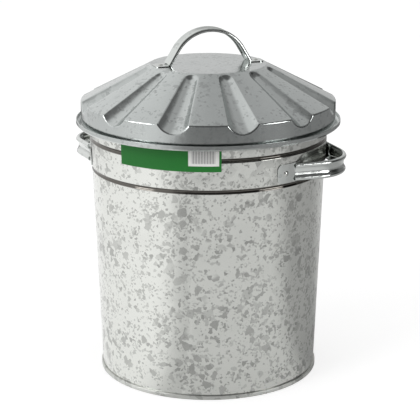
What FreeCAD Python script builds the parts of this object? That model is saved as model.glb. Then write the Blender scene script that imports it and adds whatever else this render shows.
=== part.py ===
import FreeCAD, Part
import math
import os

import Sketcher

# Galvanized sheet-steel trash can with a loose fluted lid. Millimetres, +Z up.
# Origin: centre of the base, on the floor. The two side handles lie along +X and -X, the paper
# label faces -Y and the wall's lock seam is at +Y.

doc = FreeCAD.newDocument("trash_can")

# ---------------------------------------------------------------- driving dimensions

DIMENSIONS = [
    # rolled sheet
    ("sheet_gauge", 0.5),
    ("strap_gauge", 0.8),
    ("paper_gauge", 0.2),
    # can wall: radii are those of its outer face
    ("base_radius", 125.2),
    ("taper_angle", 2.065),
    ("band_step", 1.05),
    ("flare_step", 0.35),
    ("flare_start", 231.7),
    ("lower_bead", 242.8),
    ("upper_bead", 277.8),
    ("bead_width", 5.3),
    ("bead_depth", 1.5),
    ("lock_seam_width", 7.0),
    ("lock_seam_height", 0.8),
    # rolled rim and the wire in it
    ("rim_height", 307.1),
    ("wire_diameter", 4.6),
    ("wire_gap", 0.3),
    # double seam that joins the floor to the wall
    ("chime_rise", 5.2),
    ("seam_gap", 0.11),
    ("floor_recess", 5.5),
    # lid: its flutes rest on the rim and its skirt hangs round it
    ("lid_seat", 0.3),
    ("lid_clearance", 2.1),
    ("cone_rise", 40.7),
    ("plateau_radius", 65.87),
    ("skirt_depth", 20.9),
    ("lip_reach", 5.75),
    ("lip_thickness", 1.4),
    ("lip_height", 2.5),
    ("lip_edge", 0.4),
    ("crown_round", 2.5),
    ("plateau_round", 2.0),
    ("lid_turn", 39.7),
    # pressed flutes, measured square to the cone's face
    ("flute_count", 12),
    ("flute_turn", -3.0),
    ("flute_inset", 11.0),
    ("flute_top_radius", 11.0),
    ("flute_top_depth", 4.0),
    ("flute_crown_radius", 21.0),
    ("flute_crown_depth", 8.7),
    # ribbed strap that the three handles are bent from
    ("rib_spacing", 14.6),
    ("rib_radius", 2.3),
    ("rib_rise", 2.6),
    ("tab_width", 21.5),
    ("tab_corner", 6.0),
    ("tab_seat", 0.12),
    ("flare_out", 9.0),
    ("flare_lap", 0.15),
    # side handles
    ("handle_height", 256.0),
    ("handle_projection", 24.9),
    ("loop_radius", 46.5),
    ("leg_angle", 45.0),
    ("tab_length", 25.1),
    ("rivet_inset", 11.6),
    # lid handle
    ("arch_radius", 44.0),
    ("arch_drop", 6.0),
    ("arch_splay", 31.0),
    ("lid_tab_margin", 1.4),
    ("lid_rivet_inset", 8.0),
    # rivets
    ("rivet_head", 6.4),
    ("rivet_head_height", 1.2),
    ("rivet_crown_flat", 2.24),
    ("rivet_shoulder", 4.48),
    ("rivet_shank", 3.2),
    ("rivet_tail", 5.0),
    ("rivet_tail_height", 0.8),
    ("rivet_gap", 0.05),
    # paper label
    ("label_arc", 50.0),
    ("label_centre", -87.3),
    ("label_bottom", 265.8),
    ("label_top", 299.0),
    ("label_gap", 0.15),
]

sizes = doc.addObject("Spreadsheet::Sheet", "Sizes")
for row, (alias, value) in enumerate(DIMENSIONS, start=1):
    sizes.set(f"A{row}", alias)
    sizes.set(f"B{row}", str(value))
    sizes.setAlias(f"B{row}", alias)
doc.recompute()


def read(expression):
    """The number that an expression over the sheet gives."""
    return float(doc.getObject("Sizes").evalExpression(expression))


# ---------------------------------------------------------------- sketch helpers

def origin_plane(body, role):
    for feature in body.Origin.OriginFeatures:
        if feature.Role == role:
            return feature
    raise ValueError(role)


def new_sketch(body, name, role, turn=None):
    """A sketch on one of the body's own origin planes, turned about the plane's upright if asked."""
    sketch = body.newObject("Sketcher::SketchObject", name)
    sketch.AttachmentSupport = (origin_plane(body, role), "")
    sketch.MapMode = "FlatFace"
    if turn is not None:
        sketch.AttachmentOffset = FreeCAD.Placement(
            FreeCAD.Vector(), FreeCAD.Rotation(FreeCAD.Vector(0, 1, 0), turn)
        )
    return sketch


def arc_between(start, end, radius):
    """The short arc from start to end; a positive radius turns anticlockwise."""
    chord = end - start
    middle = (start + end) * 0.5
    rise = math.sqrt(max(radius ** 2 - (chord.Length / 2) ** 2, 0.0))
    left = FreeCAD.Vector(-chord.y, chord.x, 0).normalize()
    centre = middle + left * (rise if radius > 0 else -rise)
    first, last = (start, end) if radius > 0 else (end, start)
    angles = [math.atan2(p.y - centre.y, p.x - centre.x) for p in (first, last)]
    if angles[1] <= angles[0]:
        angles[1] += 2 * math.pi
    circle = Part.Circle(centre, FreeCAD.Vector(0, 0, 1), abs(radius))
    return Part.ArcOfCircle(circle, angles[0], angles[1])


def tie_point(sketch, edge, end, corner):
    """Hold one end of an edge at (x, y), two expressions."""
    for kind, expression in zip(("DistanceX", "DistanceY"), corner):
        held = Sketcher.Constraint(kind, -1, 1, edge, end, read(expression))
        number = sketch.addConstraint(held)
        sketch.setExpression(f"Constraints[{number}]", expression)


def draw(sketch, corners, closed=True):
    """Draw a chain of edges through corners, each tied to the sheet.

    A corner is (x, y), or (x, y, radius) where an arc of that radius leaves it: anticlockwise, or
    clockwise where the text starts with a minus sign. x, y and radius are expressions.
    """
    points = [FreeCAD.Vector(read(c[0]), read(c[1]), 0) for c in corners]
    count = len(corners) if closed else len(corners) - 1
    edges = []
    for i in range(count):
        start, end = points[i], points[(i + 1) % len(points)]
        if len(corners[i]) == 3:
            radius = read(corners[i][2])
            edge = sketch.addGeometry(arc_between(start, end, radius), False)
            edges.append((edge, 1, 2) if radius > 0 else (edge, 2, 1))
            number = sketch.addConstraint(Sketcher.Constraint("Radius", edge, abs(radius)))
            sketch.setExpression(f"Constraints[{number}]", f"abs({corners[i][2]})")
        else:
            edge = sketch.addGeometry(Part.LineSegment(start, end), False)
            edges.append((edge, 1, 2))
    for i, (edge, _, last) in enumerate(edges):
        if closed or i + 1 < count:
            following, first, _ = edges[(i + 1) % count]
            sketch.addConstraint(Sketcher.Constraint("Coincident", edge, last, following, first))
    tied = [(edge, first, i) for i, (edge, first, _) in enumerate(edges)]
    if not closed:
        tied.append((edges[-1][0], edges[-1][2], len(corners) - 1))
    for edge, end, i in tied:
        tie_point(sketch, edge, end, corners[i])


def rolled(centre, radius, first, last, steps):
    """Corners of a rolled bend drawn as short flats that touch its circle, angles in degrees."""
    half = f"({abs(last - first) / steps / 2} deg)"
    reach = f"(({radius}) / cos({half}))"
    turn = (last - first) / steps
    return [
        (
            f"{centre[0]} + {reach} * cos({first + turn * (i + 0.5)} deg)",
            f"{centre[1]} + {reach} * sin({first + turn * (i + 0.5)} deg)",
        )
        for i in range(steps)
    ]


def revolve(body, corners, name, angle="360", middle=False):
    """Turn an outline in the XZ plane about Z."""
    sketch = new_sketch(body, name + "_outline", "XZ_Plane")
    draw(sketch, corners)
    feature = body.newObject("PartDesign::Revolution", name)
    feature.Profile = sketch
    feature.ReferenceAxis = (sketch, ["V_Axis"])
    feature.Midplane = middle
    feature.setExpression("Angle", angle)
    body.Tip = feature
    return feature


def new_body(name):
    """A body that stays one solid."""
    body = doc.addObject("PartDesign::Body", name)
    body.Label = name
    body.AllowCompound = False
    return body


def mirror(name, source):
    """The source's image across the XZ plane."""
    image = doc.addObject("Part::Mirroring", name + "_mirrored")
    image.Source = source
    image.Normal = FreeCAD.Vector(0, 1, 0)
    return image


def fuse(name, base, tool):
    result = doc.addObject("Part::Fuse", name)
    result.Base = base
    result.Tool = tool
    result.Refine = True
    return result


def cut(name, base, tool):
    result = doc.addObject("Part::Cut", name)
    result.Base = base
    result.Tool = tool
    return result


def upright_turn(degrees):
    return FreeCAD.Rotation(FreeCAD.Vector(0, 0, 1), degrees)


# ---------------------------------------------------------------- shared sizes

S = "Sizes."
ZERO = "(0 * 1)"
GAUGE = S + "sheet_gauge"
TAN = f"tan({S}taper_angle * 1 deg)"


def wall_radius(height, step="0"):
    """Outer radius of the tapered wall at a height, plus a step."""
    return f"({S}base_radius + ({height} - {S}chime_rise) * {TAN} + {step})"


BAND = S + "band_step"
BEAD_HALF = f"({S}bead_width / 2)"
BEAD_FLAT = f"({S}bead_width / 8)"
# The bead's flanks on the wall's inner face start further out by this, so the gauge stays even.
BEAD_SHIFT = f"({GAUGE} * tan(0.5 * atan({S}bead_depth / ({BEAD_HALF} - {BEAD_FLAT}))))"
WIRE_HOLE = f"({S}wire_diameter / 2 + {S}wire_gap)"
RIM_RADIUS = f"({wall_radius(S + 'rim_height', BAND)} + {WIRE_HOLE})"

# Layers of the double seam, from the wall outwards: pan hook, wall hook, outer leg of the pan.
LAYER = f"({GAUGE} + {S}seam_gap)"
PAN_HOOK = f"({S}base_radius + {S}seam_gap)"
WALL_HOOK = f"({PAN_HOOK} + {LAYER})"
PAN_LEG = f"({WALL_HOOK} + {LAYER})"
CHUCK_WALL = f"({S}base_radius - {GAUGE} - {LAYER})"

# Lid heights: the flutes' undersides clear the curled rim by lid_seat.
CURL = f"({WIRE_HOLE} + {GAUGE})"
SKIRT = f"({RIM_RADIUS} + {CURL} + {S}lid_clearance + {GAUGE})"
CONE_RUN = f"({SKIRT} - {S}plateau_radius)"
CONE_ANGLE = f"atan({S}cone_rise / {CONE_RUN})"
CONE_LENGTH = f"sqrt({S}cone_rise ^ 2 + {CONE_RUN} ^ 2)"
FLUTE_RUN = f"({CONE_LENGTH} - {S}flute_inset)"
FLUTE_SLOPE = f"({CONE_ANGLE} + atan(({S}flute_crown_depth - {S}flute_top_depth) / {FLUTE_RUN}))"
REST_REACH = f"({SKIRT} - {S}flute_crown_depth * sin({CONE_ANGLE}) - {RIM_RADIUS})"
REST_GAP = f"({CURL} + {S}lid_seat + {GAUGE})"
CROWN = (
    f"({S}rim_height + {S}flute_crown_depth * cos({CONE_ANGLE})"
    f" + ({REST_GAP} - {REST_REACH} * sin({FLUTE_SLOPE})) / cos({FLUTE_SLOPE}))"
)
PLATEAU = f"({CROWN} + {S}cone_rise)"
CURL_LEVEL = f"({CROWN} - {S}skirt_depth - {S}lip_height)"


# ---------------------------------------------------------------- can wall

CURL_END = -60


def bead(middle, face, way):
    """A roller bead pressed inwards at a height, upwards along the outline (1) or down it (-1).

    face is how far the outline's face lies outside the sheet's outer one.
    """
    shift = f"({face} / {GAUGE} * {BEAD_SHIFT})"
    spread = f"{BEAD_HALF} - {shift}"
    inset = f"{BEAD_FLAT} - {shift}"
    below = S + "flare_step" if middle == S + "lower_bead" else BAND
    corners = [
        (wall_radius(f"({middle} - ({spread}))", f"{below} + {face}"), f"{middle} - ({spread})"),
        (wall_radius(middle, f"{BAND} - {S}bead_depth + {face}"), f"{middle} - ({inset})"),
        (wall_radius(middle, f"{BAND} - {S}bead_depth + {face}"), f"{middle} + ({inset})"),
        (wall_radius(f"({middle} + ({spread}))", f"{BAND} + {face}"), f"{middle} + ({spread})"),
    ]
    return corners[::way]


def make_can_wall():
    """Tapered rolled sheet: hooked into the floor's seam below, beaded, and curled over the wire."""
    body = new_body("can_wall_sheet")
    seat = f"({GAUGE} + {S}seam_gap)"
    inner = f"(0 - {GAUGE})"
    lower, upper = S + "lower_bead", S + "upper_bead"
    rim = (RIM_RADIUS, S + "rim_height")
    corners = [
        # wall hook, then up the inner face
        (WALL_HOOK, f"{S}chime_rise - {seat}"),
        (f"{WALL_HOOK} + {GAUGE}", f"{S}chime_rise - {seat}"),
        (f"{WALL_HOOK} + {GAUGE}", seat),
        (f"{S}base_radius - {GAUGE}", seat),
        (f"{S}base_radius - {GAUGE}", f"{S}chime_rise"),
        (wall_radius(S + "flare_start", inner), S + "flare_start"),
        *bead(lower, f"(0 - {GAUGE})", 1),
        *bead(upper, f"(0 - {GAUGE})", 1),
        # outer face of the curl, over the wire
        (f"{RIM_RADIUS} - {CURL}", S + "rim_height"),
        *rolled(rim, CURL, 180, CURL_END, 6),
        (f"{rim[0]} + {CURL} * cos({CURL_END} deg)", f"{rim[1]} + {CURL} * sin({CURL_END} deg)"),
        # back round the wire
        (
            f"{rim[0]} + {WIRE_HOLE} * cos({CURL_END} deg)",
            f"{rim[1]} + {WIRE_HOLE} * sin({CURL_END} deg)",
        ),
        *rolled(rim, WIRE_HOLE, CURL_END, 180, 6),
        (f"{RIM_RADIUS} - {WIRE_HOLE}", S + "rim_height"),
        # down the outer face
        *bead(upper, ZERO, -1),
        *bead(lower, ZERO, -1),
        (wall_radius(S + "flare_start"), S + "flare_start"),
        (f"{S}base_radius", f"{S}chime_rise"),
        (f"{S}base_radius", f"{seat} + {GAUGE}"),
        (WALL_HOOK, f"{seat} + {GAUGE}"),
    ]
    revolve(body, corners, "wall_turned")
    return body


def make_lock_seam():
    """The folded joint of the rolled sheet: a flat ridge up the back of the wall."""
    body = new_body("lock_seam")
    sketch = new_sketch(body, "lock_seam_outline", "YZ_Plane")
    foot = f"({S}chime_rise + {S}seam_gap)"
    head = f"({S}rim_height - {WIRE_HOLE} - {GAUGE})"
    proud = S + "lock_seam_height"
    sunk = f"(0 - {GAUGE} / 2)"
    draw(
        sketch,
        [
            (wall_radius(foot, sunk), foot),
            (wall_radius(foot, proud), foot),
            (wall_radius(S + "flare_start", proud), S + "flare_start"),
            (wall_radius(S + "lower_bead", f"{BAND} + {proud}"), S + "lower_bead"),
            (wall_radius(head, f"{BAND} + {proud}"), head),
            (wall_radius(head, f"{BAND} + {sunk}"), head),
            (wall_radius(S + "lower_bead", f"{BAND} + {sunk}"), S + "lower_bead"),
            (wall_radius(S + "flare_start", sunk), S + "flare_start"),
        ],
    )
    pad = body.newObject("PartDesign::Pad", "lock_seam_pad")
    pad.Profile = sketch
    pad.Midplane = True
    pad.setExpression("Length", S + "lock_seam_width")
    body.Tip = pad
    return body


# ---------------------------------------------------------------- floor pan and rim wire

def make_can_floor():
    """Recessed disc whose turned-down edge folds round the wall's hook; the can stands on that ring."""
    body = new_body("can_floor")
    rise = S + "chime_rise"
    over, under = f"({PAN_LEG} + {GAUGE})", ZERO
    corners = [
        (under, S + "floor_recess"),
        (f"{CHUCK_WALL}", S + "floor_recess"),
        (f"{CHUCK_WALL}", under),
        (f"{over} - {GAUGE}", under),
        (over, GAUGE),
        (over, f"{rise} - {GAUGE}"),
        (f"{over} - {GAUGE}", rise),
        (PAN_HOOK, rise),
        (PAN_HOOK, f"3 * {LAYER}"),
        (f"{PAN_HOOK} + {GAUGE}", f"3 * {LAYER}"),
        (f"{PAN_HOOK} + {GAUGE}", f"{rise} - {GAUGE}"),
        (PAN_LEG, f"{rise} - {GAUGE}"),
        (PAN_LEG, GAUGE),
        (f"{CHUCK_WALL} + {GAUGE}", GAUGE),
        (f"{CHUCK_WALL} + {GAUGE}", f"{S}floor_recess + {GAUGE}"),
        (under, f"{S}floor_recess + {GAUGE}"),
    ]
    revolve(body, corners, "floor_turned")
    return body


def make_rim_wire():
    body = new_body("rim_wire")
    rim = (RIM_RADIUS, S + "rim_height")
    revolve(body, rolled(rim, S + "wire_diameter / 2", 0, 360, 10), "rim_wire_turned")
    return body


# ---------------------------------------------------------------- ribbed strap

HALF_STRAP = S + "strap_gauge / 2"
RIB_X = f"({S}rib_rise - {S}rib_radius)"
RIB_Y = f"({S}rib_spacing / 2)"
# The broad valley between the ribs is an arc that runs smoothly into both of them.
VALLEY = (
    f"(({RIB_Y} ^ 2 + {RIB_X} ^ 2 - {S}rib_radius ^ 2)"
    f" / (2 * ({S}rib_radius + {RIB_X})))"
)
RIB_END = "30 deg"
# The flat flare ends a little further in than the valley, so that the two cross cleanly.
FLARE_OUTER = f"({HALF_STRAP} - {S}flare_lap)"
FLARE_INNER = f"(0 - {HALF_STRAP} - {S}flare_lap)"


def strap_outline(at):
    """Section of the strap across its path: x outwards from the path, y along the strap's width."""
    def rib_end(radius, side):
        return (
            f"{at} + {RIB_X} - {radius} * sin({RIB_END})",
            f"{side} * ({RIB_Y} + {radius} * cos({RIB_END}))",
        )

    def rib_top(radius, side):
        return (
            f"{at} + {RIB_X} + {radius} * cos(45 deg)",
            f"{side} * ({RIB_Y} + {radius} * sin(45 deg))",
        )

    def meeting(shift, side):
        share = f"(({S}rib_radius + {shift}) / ({S}rib_radius + {VALLEY}))"
        return (
            f"{at} + {RIB_X} + {share} * ({VALLEY} - {RIB_X})",
            f"{side} * {RIB_Y} * (1 - {share})",
        )

    crest, hollow = f"({S}rib_radius + {HALF_STRAP})", f"({S}rib_radius - {HALF_STRAP})"
    out, back = f"({HALF_STRAP})", f"(0 - {HALF_STRAP})"
    return [
        rib_end(crest, "1") + (f"0 - {crest}",),
        rib_top(crest, "1") + (f"0 - {crest}",),
        meeting(out, "1") + (f"{VALLEY} - {HALF_STRAP}",),
        meeting(out, "-1") + (f"0 - {crest}",),
        rib_top(crest, "-1") + (f"0 - {crest}",),
        rib_end(crest, "-1"),
        rib_end(hollow, "-1") + (hollow,),
        rib_top(hollow, "-1") + (hollow,),
        meeting(back, "-1") + (f"0 - ({VALLEY} + {HALF_STRAP})",),
        meeting(back, "1") + (hollow,),
        rib_top(hollow, "1") + (hollow,),
        rib_end(hollow, "1"),
    ]


def strap_body(name, tip, spine, strip, wedge, free_end):
    """Half a handle, mirrored: a flat tab that flares into the ribbed strap.

    The strap's path runs in the XY plane from tip, on the X axis. spine is the path's open chain,
    strip the tab's outline in the same plane, wedge what narrows the strip's end on each side,
    and free_end the (x, y) of the tab's end, whose two corners are rounded.
    """
    body = new_body(name + "_half")

    tab_sketch = new_sketch(body, name + "_tab_outline", "XY_Plane")
    draw(tab_sketch, strip)
    tab = body.newObject("PartDesign::Pad", name + "_tab")
    tab.Profile = tab_sketch
    tab.Midplane = True
    tab.setExpression("Length", S + "tab_width")
    doc.recompute()

    end = FreeCAD.Vector(read(free_end[0]), read(free_end[1]), 0)
    reach = read(S + "strap_gauge") * 2
    corners = []
    for i, edge in enumerate(tab.Shape.Edges, start=1):
        flat = abs(edge.BoundBox.ZLength) < 1e-6
        middle = edge.CenterOfMass
        near = math.hypot(middle.x - end.x, middle.y - end.y) < reach
        if flat and near and edge.Length < reach:
            corners.append(f"Edge{i}")
    rounding = body.newObject("PartDesign::Fillet", name + "_tab_corners")
    rounding.Base = (tab, corners)
    rounding.setExpression("Radius", S + "tab_corner")

    cut_sketch = new_sketch(body, name + "_cut_outline", "YZ_Plane")
    for side in ("1", "-1"):
        draw(cut_sketch, [(y, f"{side} * ({z})") for y, z in wedge])
    pocket = body.newObject("PartDesign::Pocket", name + "_narrowing")
    pocket.Profile = cut_sketch
    pocket.Type = "ThroughAll"
    pocket.Midplane = True

    path = new_sketch(body, name + "_path", "XY_Plane")
    draw(path, spine, closed=False)
    section = new_sketch(body, name + "_section", "XZ_Plane")
    draw(section, strap_outline(tip))
    pipe = body.newObject("PartDesign::AdditivePipe", name + "_strap")
    pipe.Profile = section
    pipe.Spine = (path, [f"Edge{i + 1}" for i in range(len(spine) - 1)])
    pipe.Mode = "Binormal"
    pipe.Binormal = FreeCAD.Vector(0, 0, 1)

    body.Tip = pipe
    return fuse(name + "_whole", body, mirror(name, body))


def narrowing(bend_y, end_y):
    """Wedge that narrows a strip from the tab's full width at the bend to the valley's width."""
    wide = f"{S}tab_width / 2"
    narrow = f"{RIB_Y} - {S}rib_radius"
    over = f"({S}tab_width / 2 + {S}strap_gauge)"
    past = f"({end_y} - {S}strap_gauge)"
    return [(bend_y, wide), (end_y, narrow), (past, narrow), (past, over), (bend_y, over)]


# ---------------------------------------------------------------- side handles

HANDLE_WALL = wall_radius(S + "handle_height", BAND)
TAB_INNER = f"({HANDLE_WALL} + {S}tab_seat)"
TAB_MIDDLE = f"({TAB_INNER} + {HALF_STRAP})"
TAB_OUTER = f"({TAB_INNER} + {S}strap_gauge)"
HANDLE_TIP = f"({HANDLE_WALL} + {S}handle_projection)"
LOOP_CENTRE = f"({HANDLE_TIP} - {S}loop_radius)"
SIN_LEG = f"sin({S}leg_angle * 1 deg)"
COS_LEG = f"cos({S}leg_angle * 1 deg)"
# Distance along a straight leg from the loop's arc to the bend, on the tab's middle circle.
LEG = (
    f"({LOOP_CENTRE} * {SIN_LEG} - sqrt(({LOOP_CENTRE} * {SIN_LEG}) ^ 2 - {LOOP_CENTRE} ^ 2"
    f" - 2 * {LOOP_CENTRE} * {S}loop_radius * {COS_LEG} - {S}loop_radius ^ 2 + {TAB_MIDDLE} ^ 2))"
)


def along_leg(distance, shift="0"):
    """A point on the leg, that far from the loop's arc, shifted outwards across the strap."""
    return (
        f"{LOOP_CENTRE} + ({S}loop_radius + {shift}) * {COS_LEG} - {distance} * {SIN_LEG}",
        f"({S}loop_radius + {shift}) * {SIN_LEG} + {distance} * {COS_LEG}",
    )


BEND = along_leg(LEG)
TAB_START = f"atan(({BEND[1]}) / ({BEND[0]}))"
TAB_END = f"({TAB_START} + {S}tab_length / {TAB_MIDDLE} * 1 rad)"
RIVET_ANGLE = f"({TAB_END} - {S}rivet_inset / {TAB_MIDDLE} * 1 rad)"


def make_side_handle(name):
    """Strap loop whose tabs lie on the wall; modelled level, with its middle at height 0."""
    leg_end = along_leg(f"({LEG} - {S}flare_out)")

    def on_wall(radius):
        return f"{radius} * cos({TAB_END})", f"{radius} * sin({TAB_END})"

    strip = [
        (f"{TAB_INNER} * cos({TAB_START})", f"{TAB_INNER} * sin({TAB_START})", TAB_INNER),
        on_wall(TAB_INNER),
        on_wall(TAB_OUTER) + (f"0 - {TAB_OUTER}",),
        (f"{TAB_OUTER} * cos({TAB_START})", f"{TAB_OUTER} * sin({TAB_START})"),
        along_leg(f"({LEG} - {S}flare_out)", FLARE_OUTER),
        along_leg(f"({LEG} - {S}flare_out)", FLARE_INNER),
    ]
    spine = [
        (f"{LOOP_CENTRE} + {S}loop_radius", ZERO, f"{S}loop_radius"),
        along_leg("0"),
        BEND,
    ]
    wedge = narrowing(BEND[1], leg_end[1])
    return strap_body(name, HANDLE_TIP, spine, strip, wedge, on_wall(TAB_MIDDLE))


def lean_on_wall(handle, turn):
    """Tip a level handle square to the tapered wall, lift it to its height and turn it about Z."""
    radius = read(HANDLE_WALL)
    lean = FreeCAD.Rotation(FreeCAD.Vector(0, 1, 0), read(S + "taper_angle"))
    lift = FreeCAD.Vector(radius, 0, read(S + "handle_height"))
    lift -= lean.multVec(FreeCAD.Vector(radius, 0, 0))
    upright = FreeCAD.Placement(FreeCAD.Vector(), upright_turn(turn))
    handle.Placement = upright * FreeCAD.Placement(lift, lean)


# ---------------------------------------------------------------- lid handle

TAB_FLOOR = f"({PLATEAU} + {S}tab_seat)"
TAB_LEVEL = f"({TAB_FLOOR} + {HALF_STRAP})"
LID_TAB_END = f"({S}plateau_radius - {S}lid_tab_margin)"
ARCH_CENTRE = f"({PLATEAU} - {S}arch_drop)"
SIN_SPLAY = f"sin({S}arch_splay * 1 deg)"
COS_SPLAY = f"cos({S}arch_splay * 1 deg)"


def down_splay(distance, shift="0"):
    """A point on the arch's straight leg, as (height, distance along the handle)."""
    return (
        f"{ARCH_CENTRE} + ({S}arch_radius + {shift}) * {SIN_SPLAY} - {distance} * {COS_SPLAY}",
        f"({S}arch_radius + {shift}) * {COS_SPLAY} + {distance} * {SIN_SPLAY}",
    )


def splay_to(level, shift="0"):
    """How far down the leg, or the leg shifted outwards, a height lies."""
    return f"(({ARCH_CENTRE} + ({S}arch_radius + {shift}) * {SIN_SPLAY} - {level}) / {COS_SPLAY})"


def make_lid_handle(name):
    """The same strap as an upright arch. X is up here, Y along the handle; placed later."""
    length = splay_to(TAB_LEVEL)
    foot = down_splay(length)
    flare = f"({length} - {S}flare_out)"
    tab_top = f"({TAB_FLOOR} + {S}strap_gauge)"
    strip = [
        down_splay(splay_to(TAB_FLOOR, FLARE_INNER), FLARE_INNER),
        (TAB_FLOOR, LID_TAB_END),
        (tab_top, LID_TAB_END),
        down_splay(splay_to(tab_top, FLARE_OUTER), FLARE_OUTER),
        down_splay(flare, FLARE_OUTER),
        down_splay(flare, FLARE_INNER),
    ]
    # The leaning strap stops at the tab's top, so that its ribs stay clear of the lid.
    spine = [
        (f"{ARCH_CENTRE} + {S}arch_radius", ZERO, f"{S}arch_radius"),
        down_splay("0"),
        down_splay(splay_to(tab_top)),
    ]
    wedge = narrowing(foot[1], down_splay(flare)[1])
    end = (TAB_LEVEL, LID_TAB_END)
    return strap_body(name, f"{ARCH_CENTRE} + {S}arch_radius", spine, strip, wedge, end)


# ---------------------------------------------------------------- lid

def across_cone(distance, height):
    """A point that far down the cone's face from the plateau's edge, and that far above it."""
    return (
        f"{S}plateau_radius + {distance} * cos({CONE_ANGLE}) + {height} * sin({CONE_ANGLE})",
        f"{PLATEAU} - {distance} * sin({CONE_ANGLE}) + {height} * cos({CONE_ANGLE})",
    )


# A flute is swept by a ball that grows from its top, near the plateau, down past the crown.
TOP_BALL = S + "flute_top_radius"
TOP_HEIGHT = f"({TOP_BALL} - {S}flute_top_depth)"
CROWN_HEIGHT = f"({S}flute_crown_radius - {S}flute_crown_depth)"
FLUTE_LENGTH = f"sqrt({FLUTE_RUN} ^ 2 + ({CROWN_HEIGHT} - {TOP_HEIGHT}) ^ 2)"
FLUTE_LIFT = f"atan(({CROWN_HEIGHT} - {TOP_HEIGHT}) / {FLUTE_RUN})"
FLUTE_GROWTH = f"asin(({S}flute_crown_radius - {TOP_BALL}) / {FLUTE_LENGTH})"
FLUTE_REACH = f"({FLUTE_LENGTH} * 1.5)"


def beside_flute(along, away):
    """A point in the flute's plane: along its axis from the top ball's centre, and away from it."""
    return across_cone(
        f"({S}flute_inset + {along} * cos({FLUTE_LIFT}) - {away} * sin({FLUTE_LIFT}))",
        f"({TOP_HEIGHT} + {along} * sin({FLUTE_LIFT}) + {away} * cos({FLUTE_LIFT}))",
    )


def round_edges(body, name, base, radius, wanted):
    """Fillet the edges of base whose bounding boxes are wanted."""
    edges = [f"Edge{i}" for i, edge in enumerate(base.Shape.Edges, 1) if wanted(edge.BoundBox)]
    fillet = body.newObject("PartDesign::Fillet", name)
    fillet.Base = (base, edges)
    fillet.setExpression("Radius", radius)
    body.Tip = fillet
    doc.recompute()
    return fillet


def make_lid_sheet():
    """Pressed sheet: flat plateau, cone with scalloped flutes, and an upright skirt."""
    body = new_body("lid_sheet")
    corners = [
        (ZERO, CURL_LEVEL),
        (SKIRT, CURL_LEVEL),
        (SKIRT, CROWN),
        (S + "plateau_radius", PLATEAU),
        (ZERO, PLATEAU),
    ]
    revolve(body, corners, "lid_turned")

    sketch = new_sketch(body, "flute_outline", "XZ_Plane")
    foot, head = beside_flute(ZERO, ZERO), beside_flute(FLUTE_REACH, ZERO)
    wall = f"({TOP_BALL} / cos({FLUTE_GROWTH}) + {FLUTE_REACH} * tan({FLUTE_GROWTH}))"
    draw(
        sketch,
        [
            beside_flute(f"(0 - {TOP_BALL})", ZERO) + (f"0 - {TOP_BALL}",),
            beside_flute(
                f"(0 - {TOP_BALL} * sin({FLUTE_GROWTH}))", f"{TOP_BALL} * cos({FLUTE_GROWTH})"
            ),
            beside_flute(FLUTE_REACH, wall),
            head,
        ],
    )
    ends = [FreeCAD.Vector(read(x), read(y), 0) for x, y in (foot, head)]
    axis = sketch.addGeometry(Part.LineSegment(*ends), True)
    tie_point(sketch, axis, 1, foot)
    tie_point(sketch, axis, 2, head)
    flute = body.newObject("PartDesign::Groove", "flute")
    flute.Profile = sketch
    flute.ReferenceAxis = (sketch, ["Axis0"])
    flute.Angle = 360
    doc.recompute()
    flutes = body.newObject("PartDesign::PolarPattern", "flutes")
    flutes.Originals = [flute]
    flutes.Axis = (origin_plane(body, "Z_Axis"), [""])
    flutes.Angle = 360
    flutes.setExpression("Occurrences", S + "flute_count")
    body.Tip = flutes
    doc.recompute()

    low, top = read(CURL_LEVEL) + 0.1, read(PLATEAU) - 0.01
    rounds = round_edges(
        body, "crown_rounds", flutes, S + "crown_round",
        lambda box: box.ZMin > low and box.ZMax < top,
    )
    crest = round_edges(
        body, "plateau_rounds", rounds, S + "plateau_round", lambda box: box.ZMin > top
    )
    underside = [
        f"Face{i}" for i, face in enumerate(crest.Shape.Faces, 1) if face.BoundBox.ZMax < low
    ]
    sheet = body.newObject("PartDesign::Thickness", "lid_sheet_gauge")
    sheet.Base = (crest, underside)
    sheet.Reversed = True
    sheet.setExpression("Value", GAUGE)
    body.Tip = sheet
    return body


def make_lid_lip():
    """The skirt's foot, rolled outwards and up into a thick lip with a groove behind it."""
    body = new_body("lid_lip")
    inner, outer = f"({SKIRT} - {GAUGE})", f"({SKIRT} + {S}lip_reach)"
    groove = f"({outer} - {S}lip_thickness)"
    top = f"({CURL_LEVEL} + {S}lip_height)"
    edge = S + "lip_edge"
    under, hollow = f"(({outer} - {inner}) / 2)", f"(({groove} - {SKIRT}) / 2)"
    corners = [
        (inner, CURL_LEVEL),
        *rolled((f"{inner} + {under}", CURL_LEVEL), under, 180, 360, 4),
        (outer, f"{top} - {edge}"),
        (f"{outer} - {edge}", top),
        (f"{groove} + {edge}", top),
        *rolled((f"{SKIRT} + {hollow}", CURL_LEVEL), hollow, 360, 180, 3),
        (SKIRT, CURL_LEVEL),
    ]
    revolve(body, corners, "lip_turned")
    return body


# ---------------------------------------------------------------- rivets

TO_X = FreeCAD.Rotation(FreeCAD.Vector(0, 1, 0), 90)


def side_rivet_spot():
    """Where a level side handle's rivet leaves the wall's outer face; its Z points outwards."""
    turn = upright_turn(read(RIVET_ANGLE))
    return FreeCAD.Placement(turn.multVec(FreeCAD.Vector(read(HANDLE_WALL), 0, 0)), turn * TO_X)


def lid_rivet_spot():
    """The same for the arch, in its own frame, where X is up and Y runs along the handle."""
    along = read(f"{LID_TAB_END} - {S}lid_rivet_inset")
    return FreeCAD.Placement(FreeCAD.Vector(read(PLATEAU), along, 0), TO_X)


def mirrored_pair(name, one):
    """A piece and its mirror image across the handle's middle, as one group."""
    pair = doc.addObject("Part::Compound", name + "_pair")
    pair.Links = [one, mirror(name, one)]
    return pair


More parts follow.
